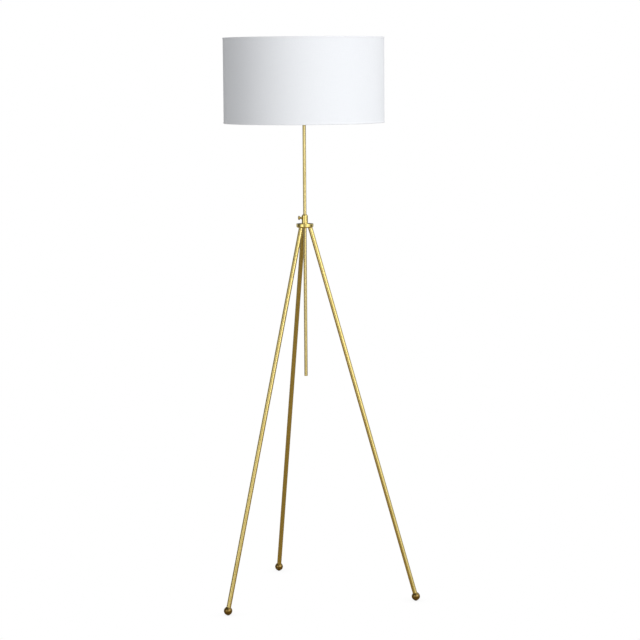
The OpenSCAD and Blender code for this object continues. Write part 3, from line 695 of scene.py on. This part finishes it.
def blob(centre, half_width, half_height, seed, turns=20, rows=11):
    """A small uneven drop of metal, as a weld leaves."""
    swelling, lumps = 0.18, 2.3
    points = []
    for i in range(rows):
        up = math.pi * ((i + 0.5) / rows - 0.5)
        for j in range(turns):
            turn = 2 * math.pi * j / turns
            away = on_ring(math.cos(up), turn, math.sin(up))
            swell = 1 + swelling * noise.noise(away * lumps + Vector((seed, 0, 0)))
            points.append(centre + Vector((away.x * half_width, away.y * half_width,
                                           away.z * half_height)) * swell)
    return points, grid_faces(rows, turns) + end_caps(rows, turns)


def arm_welds():
    """Two weld beads in the crevices where each arm of the spider meets the ring."""
    beside, half_width, half_height = 1.35 * MM, 1.0 * MM, 1.3 * MM
    bead_r = RING_R - RING_WIRE_R + ARM_SUNK / 2
    bead_height = FRAME_HIGH - RING_WIRE_R - 0.2 * MM
    beads = []
    for number, angle in enumerate(ARM_ANGLES):
        for side in (-1, 1):
            centre = on_ring(bead_r, angle + side * beside / bead_r, bead_height)
            beads.append(blob(centre, half_width, half_height, seed=3.1 * number + side))
    points, faces = joined(*beads)
    piece = add_object("arm_welds", points, faces, "shade", white_coat.material, 60)


arm_welds()


# Turned and pressed brass

KNURL_TEETH = 40
KNURL_TURNS = KNURL_TEETH * 6


def knurl(inside, depth):
    """A straight knurl on everything outside a radius."""
    def radius_at(angle, r, _height):
        if r < inside:
            return r
        return r - depth * (0.5 - 0.5 * math.cos(KNURL_TEETH * angle))
    return radius_at


def thumb_screw():
    """The screw with its coved neck and a knurled, dished head, turned upright and laid down."""
    low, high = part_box("thumb_screw")
    tip, end = -high.x, -low.x
    head_r, head_t = (high.y - low.y) / 2, 4.3 * MM
    centre_r, shank_r, shank_bevel = 0.3 * MM, 2.0 * MM, 0.3 * MM
    neck_r, neck_length, cove_depth, cove_steps = 3.95 * MM, 4.0 * MM, 1.2 * MM, 10
    bevel, dish_start, dish_floor = 0.9 * MM, 1.6 * MM, 2.2 * MM
    knurl_start, knurl_depth = 0.5 * MM, 0.3 * MM
    head = end - head_t
    neck = head - neck_length
    line = [(centre_r, tip), (shank_r - shank_bevel, tip), (shank_r, tip + shank_bevel),
            (shank_r, neck), (neck_r, neck)]
    for k in range(1, cove_steps):
        share = k / cove_steps
        line.append((neck_r - cove_depth * math.sin(math.pi * share), neck + share * neck_length))
    line += rounded([(neck_r, head), (head_r - bevel, head), (head_r, head + bevel),
                     (head_r, end - bevel), (head_r - bevel, end), (head_r - dish_start, end),
                     (head_r - dish_floor, end - 0.4 * MM), (centre_r, end - 0.5 * MM)],
                    0.5 * MM, 3)
    points, faces = revolve(line, turns=KNURL_TURNS,
                            radius_at=knurl(head_r - knurl_start, knurl_depth), close=False)
    lying = Matrix.Translation((0, 0, SCREW_HEIGHT)) @ Matrix.Rotation(-math.pi / 2, 4, "Y")
    piece = add_object("knurled_thumb_screw", [lying @ p for p in points], faces, "clamp_screw",
                       screw_brass.material, 28)
    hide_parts("thumb_screw")


thumb_screw()


def turned_finial():
    """The finial: a knurled foot, a cove, a bead and a ball, hollow for the harp's stud."""
    base, top, foot_r = extent("finial")
    centre_r, hole_r, hole_end = 0.2 * MM, 3.2 * MM, 8.7 * MM
    cove_r, bead_r, ball_r = 4.2 * MM, 5.1 * MM, 5.4 * MM
    knurl_inside, knurl_depth = 6.6 * MM, 0.25 * MM
    ball_z = top - base - ball_r
    line = [(centre_r, hole_end), (hole_r, hole_end), (hole_r, 0.0)]
    line += rounded([(foot_r - 0.6 * MM, 0.0), (foot_r, 0.6 * MM), (foot_r, 2.2 * MM),
                     (foot_r - 0.7 * MM, 2.9 * MM), (4.9 * MM, 3.2 * MM), (cove_r, 4.4 * MM),
                     (cove_r, 5.6 * MM), (bead_r - 0.1 * MM, 5.9 * MM), (bead_r, 6.7 * MM),
                     (4.3 * MM, 7.1 * MM)], 0.5 * MM, 3)
    start, end, steps = math.radians(-52), math.radians(87), 20
    for k in range(steps + 1):
        up = start + (end - start) * k / steps
        line.append((ball_r * math.cos(up), ball_z + ball_r * math.sin(up)))
    points, faces = revolve([(r, base + h) for r, h in line], turns=KNURL_TURNS,
                            radius_at=knurl(knurl_inside, knurl_depth), close=False)
    piece = add_object("turned_finial", points, faces, "head", turned_brass.material, 28)
    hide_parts("finial")


turned_finial()

THREAD_PITCH = 3.63 * MM
THREAD_DEPTH = 0.75 * MM
THREAD_RUN_OUT = 1.5 * MM
THREAD_TURNS = 120
THREAD_STEP = 0.4 * MM


def lamp_thread(top):
    """The lamp's round thread, which runs out into plain wall just below top."""
    def radius_at(angle, r, h):
        fade = min(1.0, max(0.0, (top - h) / THREAD_RUN_OUT))
        wave = 0.5 - 0.5 * math.cos(2 * math.pi * h / THREAD_PITCH - angle)
        return r - THREAD_DEPTH * fade * wave
    return radius_at


def threaded_shells():
    """The bulb's base and the socket's screw shell, with their shared round thread."""
    low, high, base_r = extent("bulb_base")
    plain_end, skin = 6.8 * MM, 0.3 * MM
    thread = lamp_thread(high - plain_end)
    outer = rounded([(base_r - 1.9 * MM, low), (base_r, low + 0.9 * MM),
                     (base_r, high - 1.2 * MM), (base_r - 0.05 * MM, high)], 0.8 * MM, 4)
    outer = subdivided(outer, THREAD_STEP)
    inner = [(r - skin, h) for r, h in reversed(outer)]
    points, faces = revolve(outer + inner, turns=THREAD_TURNS, radius_at=thread)
    base = add_object("threaded_bulb_base", points, faces, "head", nickel.material, 40)
    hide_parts("bulb_base")

    low, high, shell_r = extent("screw_shell")
    wall = 0.4 * MM
    inside = shell_r - wall
    hole_r = inside * 0.6
    down = subdivided([(inside, high), (inside, low + wall), (hole_r, low + wall)], THREAD_STEP)
    up = subdivided([(hole_r, low), (shell_r, low), (shell_r, high)], THREAD_STEP)

    def wall_only(angle, r, h):
        return thread(angle, r, h) if r > inside - 0.1 * MM else r

    points, faces = revolve(down + up, turns=THREAD_TURNS, radius_at=wall_only)
    shell = add_object("threaded_screw_shell", points, faces, "head", sheet_brass.material, 40)
    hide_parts("screw_shell")


threaded_shells()


def grooved_coupling():
    """The coupling on top of the stem, with turned grooves, and its threaded nipple."""
    low, high, outer_r = extent("stem_coupling")
    seat_r, bore_r, nipple_r = 4.8 * MM, 3.0 * MM, 4.8 * MM
    tall, seat = 12 * MM, 8 * MM
    groove, bevel = 0.45 * MM, 0.4 * MM
    groove_in, groove_mouth, groove_floor = 3.0 * MM, 0.7 * MM, 0.3 * MM
    line = [(seat_r, 0.0), (outer_r - bevel, 0.0), (outer_r, bevel)]
    for at in (groove_in, tall - groove_in):
        line += [(outer_r, at - groove_mouth), (outer_r - groove, at - groove_floor),
                 (outer_r - groove, at + groove_floor), (outer_r, at + groove_mouth)]
    line += [(outer_r, tall - bevel), (outer_r - bevel, tall), (nipple_r, tall),
             (nipple_r, high - low), (bore_r, high - low), (bore_r, seat), (seat_r, seat)]
    points, faces = revolve([(r, low + h) for r, h in line], turns=96)
    piece = add_object("grooved_coupling", points, faces, "head", turned_brass.material, 25)
    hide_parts("stem_coupling")


grooved_coupling()


# Stage

# Where the photograph was taken from, round the lamp, and how the camera is turned
VIEW_BEARING = math.radians(14.253)
VIEW_DISTANCE = 6.0854
VIEW_HEIGHT = 1.5033
VIEW_YAW = math.radians(-0.3830)
VIEW_PITCH = math.radians(6.6529)
VIEW_ROLL = math.radians(-0.4000)
LENS_MM = 121.830
SENSOR_MM = 36
CLIP_END = 200


def photo_camera():
    """The camera, fitted to the photograph."""
    data = bpy.data.cameras.new("photo_camera")
    data.lens = LENS_MM
    data.sensor_width = SENSOR_MM
    data.clip_end = CLIP_END
    camera = bpy.data.objects.new("photo_camera", data)
    camera.matrix_world = (
        Matrix.Translation((VIEW_DISTANCE * math.sin(VIEW_BEARING),
                            -VIEW_DISTANCE * math.cos(VIEW_BEARING), VIEW_HEIGHT))
        @ Matrix.Rotation(VIEW_BEARING + VIEW_YAW, 4, "Z")
        @ Matrix.Rotation(math.pi / 2 - VIEW_PITCH, 4, "X")
        @ Matrix.Rotation(VIEW_ROLL, 4, "Z")
    )
    bpy.context.scene.collection.objects.link(camera)
    bpy.context.scene.camera = camera


photo_camera()


def toward(right_deg, up_deg):
    """Direction from the lamp: degrees to the camera's right, and up from level."""
    bearing, up = VIEW_BEARING + math.radians(right_deg), math.radians(up_deg)
    return Vector((math.sin(bearing) * math.cos(up), -math.cos(bearing) * math.cos(up),
                   math.sin(up)))


def softbox(name, right_deg, up_deg, distance, width, height, power, aim_height):
    """A soft light of a power in watts, facing the lamp's axis at aim_height."""
    offset = toward(right_deg, up_deg)
    data = bpy.data.lights.new(name, "AREA")
    data.shape = "RECTANGLE"
    data.size, data.size_y = width, height
    data.energy = power
    light = bpy.data.objects.new(name, data)
    light.location = Vector((0, 0, aim_height)) + offset * distance
    light.rotation_euler = offset.to_track_quat("Z", "Y").to_euler()
    bpy.context.scene.collection.objects.link(light)
    return light


softbox("key", 36, 20, 3.4, 0.8, 1.5, 18.3, aim_height=0.50)
softbox("glint", -37, 6, 3.8, 0.9, 1.9, 8, aim_height=0.70)
# Lights the shade's back; mirrored rays and the floor don't see it
back_fill = softbox("back_fill", 180, 8, 3.6, 1.6, 1.2, 21, aim_height=1.3)
back_fill.visible_glossy = False

# Large soft sources of the room: name, degrees to the camera's right and up, degrees
# from its middle to which it is full and at which it is gone, and strength
ROOM_LOBES = [
    ("front_right", 38, 10, 17, 48, 1.34),
    ("front_left", -37, 8, 12, 40, 1.00),
    ("right_side", 92, 46, 22, 54, 0.86),
    ("ceiling", 0, 88, 20, 50, 0.06),
    ("behind_left", -138, 6, 8, 33, 0.62),
    ("behind_right", 138, 6, 8, 33, 0.50),
]
ROOM_BASE = 0.152
ROOM_TINT = (0.97, 0.98, 1.0, 1)
BACKDROP = (1, 1, 1, 1)


def studio_world():
    """White backdrop for the camera, a soft room for light and reflections."""
    world = bpy.data.worlds.new("studio")
    world.use_nodes = True
    tree = world.node_tree
    tree.nodes.clear()
    make, link = tree.nodes.new, tree.links.new
    look = make("ShaderNodeTexCoord").outputs["Generated"]
    total = None
    for name, right_deg, up_deg, full, gone, strength in ROOM_LOBES:
        nearness = make("ShaderNodeVectorMath")
        nearness.operation = "DOT_PRODUCT"
        link(look, nearness.inputs[0])
        nearness.inputs[1].default_value = toward(right_deg, up_deg)
        lobe = make("ShaderNodeMapRange")
        lobe.name = name
        lobe.interpolation_type = "SMOOTHSTEP"
        lobe.inputs[1].default_value = math.cos(math.radians(gone))
        lobe.inputs[2].default_value = math.cos(math.radians(full))
        lobe.inputs[4].default_value = strength
        link(nearness.outputs["Value"], lobe.inputs[0])
        summed = make("ShaderNodeMath")
        summed.inputs[1].default_value = ROOM_BASE
        link(lobe.outputs[0], summed.inputs[0])
        if total:
            link(total, summed.inputs[1])
        total = summed.outputs[0]
    room = make("ShaderNodeBackground")
    room.inputs["Color"].default_value = ROOM_TINT
    link(total, room.inputs["Strength"])
    seen = make("ShaderNodeBackground")
    seen.inputs["Color"].default_value = BACKDROP
    seen.inputs["Strength"].default_value = 1.0
    mix = make("ShaderNodeMixShader")
    link(make("ShaderNodeLightPath").outputs["Is Camera Ray"], mix.inputs[0])
    link(room.outputs[0], mix.inputs[1])
    link(seen.outputs[0], mix.inputs[2])
    link(mix.outputs[0], make("ShaderNodeOutputWorld").inputs["Surface"])
    bpy.context.scene.world = world


studio_world()


FLOOR_REACH = 3.0
CONTACT_REACH = 0.05
CONTACT_TONE = 0.86
FLOOR_MIRRORED = (0.56, 0.43, 0.20, 1)
FLOOR_TONE = (0.50, 0.49, 0.47, 1)


def pale_floor():
    """A floor: white with a faint contact shade to the camera, warm wood in the brass."""
    mesh = bpy.data.meshes.new("floor")
    signs = ((-1, -1), (1, -1), (1, 1), (-1, 1))
    corners = [(x * FLOOR_REACH, y * FLOOR_REACH, 0) for x, y in signs]
    mesh.from_pydata(corners, [], [(0, 1, 2, 3)])
    floor = bpy.data.objects.new("floor", mesh)
    bpy.context.scene.collection.objects.link(floor)
    material = bpy.data.materials.new("floor")
    material.use_nodes = True
    tree = material.node_tree
    tree.nodes.clear()
    make, link = tree.nodes.new, tree.links.new
    contact = make("ShaderNodeAmbientOcclusion")
    contact.inputs["Distance"].default_value = CONTACT_REACH
    shade = make("ShaderNodeMapRange")
    for socket, value in zip((1, 2, 3, 4), (0.0, 1.0, CONTACT_TONE, 1.0)):
        shade.inputs[socket].default_value = value
    link(contact.outputs["AO"], shade.inputs[0])
    white = make("ShaderNodeEmission")
    link(shade.outputs[0], white.inputs["Strength"])
    rays = make("ShaderNodeLightPath")
    tone = make("ShaderNodeMix")
    tone.data_type = "RGBA"
    tone.inputs[6].default_value = FLOOR_TONE
    tone.inputs[7].default_value = FLOOR_MIRRORED
    link(rays.outputs["Is Glossy Ray"], tone.inputs[0])
    lit = make("ShaderNodeBsdfDiffuse")
    link(tone.outputs[2], lit.inputs["Color"])
    mix = make("ShaderNodeMixShader")
    link(rays.outputs["Is Camera Ray"], mix.inputs[0])
    link(lit.outputs[0], mix.inputs[1])
    link(white.outputs[0], mix.inputs[2])
    link(mix.outputs[0], make("ShaderNodeOutputMaterial").inputs["Surface"])
    mesh.materials.append(material)
    return floor


def leave_unlit(piece, light):
    """Keeps a light off one piece and on all the others."""
    unlit = bpy.data.collections.new(f"unlit_by_{light.name}")
    unlit.objects.link(piece)
    unlit.collection_objects[0].light_linking.link_state = "EXCLUDE"
    light.light_linking.receiver_collection = unlit


leave_unlit(pale_floor(), back_fill)
bpy.context.scene.view_settings.view_transform = "Standard"
